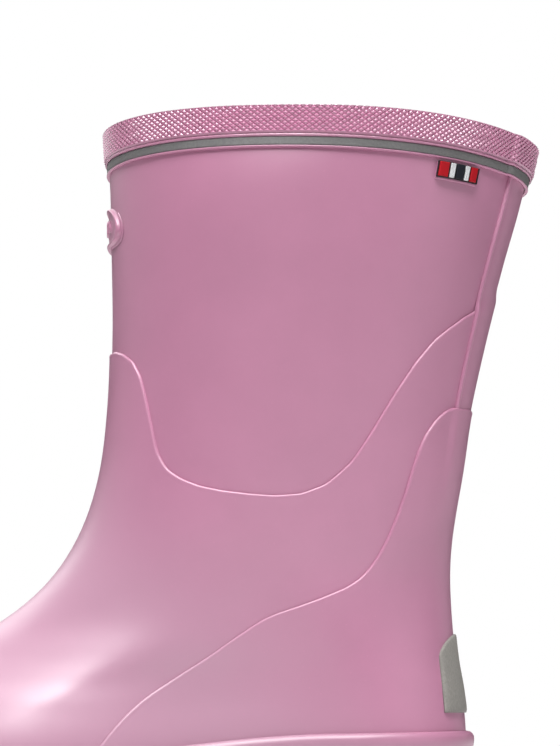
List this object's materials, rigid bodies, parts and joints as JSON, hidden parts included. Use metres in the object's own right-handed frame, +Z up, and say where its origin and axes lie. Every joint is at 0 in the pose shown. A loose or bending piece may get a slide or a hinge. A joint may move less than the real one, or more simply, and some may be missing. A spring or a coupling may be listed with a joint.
{
  "type": "rubber rain boot",
  "caption": "Child's pull-on rubber rain boot for the left foot: lined flared leg, ribbed collar with grey tape, bonded overlays, cleated sole and loose insole.",
  "frame": {"origin": "ground level, centre of the overall length and width", "axes": "+X towards the toe, +Y to the outer side of this left boot, +Z up out of the leg opening"},
  "size_m": [0.2179, 0.0861, 0.2004],
  "materials": {
    "pink_rubber": "satin pink natural rubber",
    "foxing_rubber": "satin pink rubber, a shade darker",
    "sole_rubber": "matt pink rubber",
    "midsole_rubber": "matt sponge rubber",
    "filler_foam": "matt sponge rubber",
    "board": "pressed cellulose board",
    "foam": "open cell foam",
    "insole_cloth": "brushed cloth",
    "lining": "knitted cotton",
    "stiffener": "pressed fibre sheet",
    "reflector": "grey reflective film",
    "collar_tape": "grey reflective woven tape",
    "tag_black": "satin black",
    "tag_red": "satin red",
    "tag_white": "satin white",
    "tag_navy": "satin navy"
  },
  "bodies": {
    "boot": {"outsole": "sole_rubber", "heel_filler": "filler_foam", "midsole": "midsole_rubber", "insole_board": "board", "foot_ply": "pink_rubber", "leg_upper": "pink_rubber", "foot_lining": "lining", "leg_lining": "lining", "toe_puff": "stiffener", "heel_stiffener": "stiffener", "vamp_overlay": "pink_rubber", "heel_counter": "pink_rubber", "back_stay": "pink_rubber", "foxing_strip": "foxing_rubber", "toe_bumper": "foxing_rubber", "heel_reflector": "reflector", "collar_band": "pink_rubber", "collar_tape": "collar_tape", "collar_knurl": "pink_rubber", "front_badge": "pink_rubber", "tag_backing": "pink_rubber", "tag_plate": "tag_black", "tag_bar_red_front": "tag_red", "tag_bar_white_front": "tag_white", "tag_bar_navy": "tag_navy", "tag_bar_white_rear": "tag_white", "tag_bar_red_rear": "tag_red"},
    "insole": {"insole_foam": "foam", "insole_cloth": "insole_cloth"}
  },
  "joints": [
    {"name": "insole_lift", "type": "hinge", "parent": "boot", "child": "insole", "pos_m": [0.0967, -0.0055, 0.0158], "axis": [0, 1, 0], "range_deg": [0, 10]}
  ]
}
